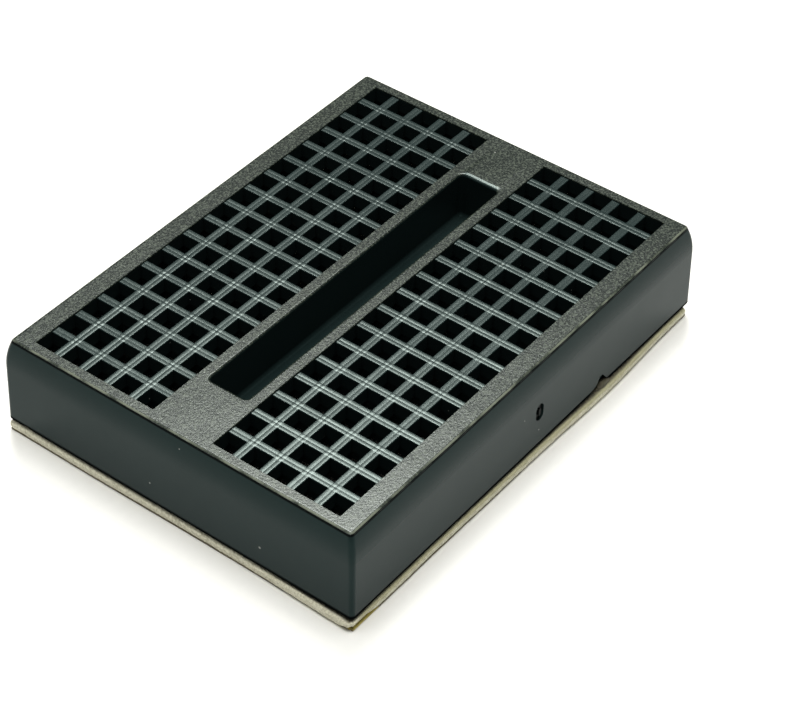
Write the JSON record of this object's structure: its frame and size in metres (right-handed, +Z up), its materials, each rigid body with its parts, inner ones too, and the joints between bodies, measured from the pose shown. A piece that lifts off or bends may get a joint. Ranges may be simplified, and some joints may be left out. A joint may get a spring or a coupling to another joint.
{
  "type": "solderless breadboard",
  "caption": "Mini solderless breadboard: a black moulded block with two banks of square tie points, a centre trough and a self-adhesive foam base with a peel-off liner.",
  "frame": {"origin": "middle of the face it rests on, under the middle of the whole part", "axes": "+X along the columns of tie points, +Y from bank f-j to bank a-e, +Z up out of the tie points"},
  "size_m": [0.0454, 0.0344, 0.0094],
  "materials": {
    "black_plastic": "gloss",
    "clip_metal": "satin",
    "tape_foam": "matte",
    "tape_adhesive": "satin",
    "liner_paper": "satin"
  },
  "bodies": {
    "board": {"housing": "black_plastic", "clip_ae_01": "clip_metal", "clip_ae_02": "clip_metal", "clip_ae_03": "clip_metal", "clip_ae_04": "clip_metal", "clip_ae_05": "clip_metal", "clip_ae_06": "clip_metal", "clip_ae_07": "clip_metal", "clip_ae_08": "clip_metal", "clip_ae_09": "clip_metal", "clip_ae_10": "clip_metal", "clip_ae_11": "clip_metal", "clip_ae_12": "clip_metal", "clip_ae_13": "clip_metal", "clip_ae_14": "clip_metal", "clip_ae_15": "clip_metal", "clip_ae_16": "clip_metal", "clip_ae_17": "clip_metal", "clip_fj_01": "clip_metal", "clip_fj_02": "clip_metal", "clip_fj_03": "clip_metal", "clip_fj_04": "clip_metal", "clip_fj_05": "clip_metal", "clip_fj_06": "clip_metal", "clip_fj_07": "clip_metal", "clip_fj_08": "clip_metal", "clip_fj_09": "clip_metal", "clip_fj_10": "clip_metal", "clip_fj_11": "clip_metal", "clip_fj_12": "clip_metal", "clip_fj_13": "clip_metal", "clip_fj_14": "clip_metal", "clip_fj_15": "clip_metal", "clip_fj_16": "clip_metal", "clip_fj_17": "clip_metal", "tape_adhesive_upper": "tape_adhesive", "foam_tape": "tape_foam", "tape_adhesive_lower": "tape_adhesive"},
    "liner": {"release_liner": "liner_paper"}
  },
  "joints": [
    {"name": "liner_peel", "type": "hinge", "parent": "board", "child": "liner", "pos_m": [0.0223, -0.00005, 0.00012], "axis": [0, -1, 0], "range_deg": [0, 180]}
  ]
}
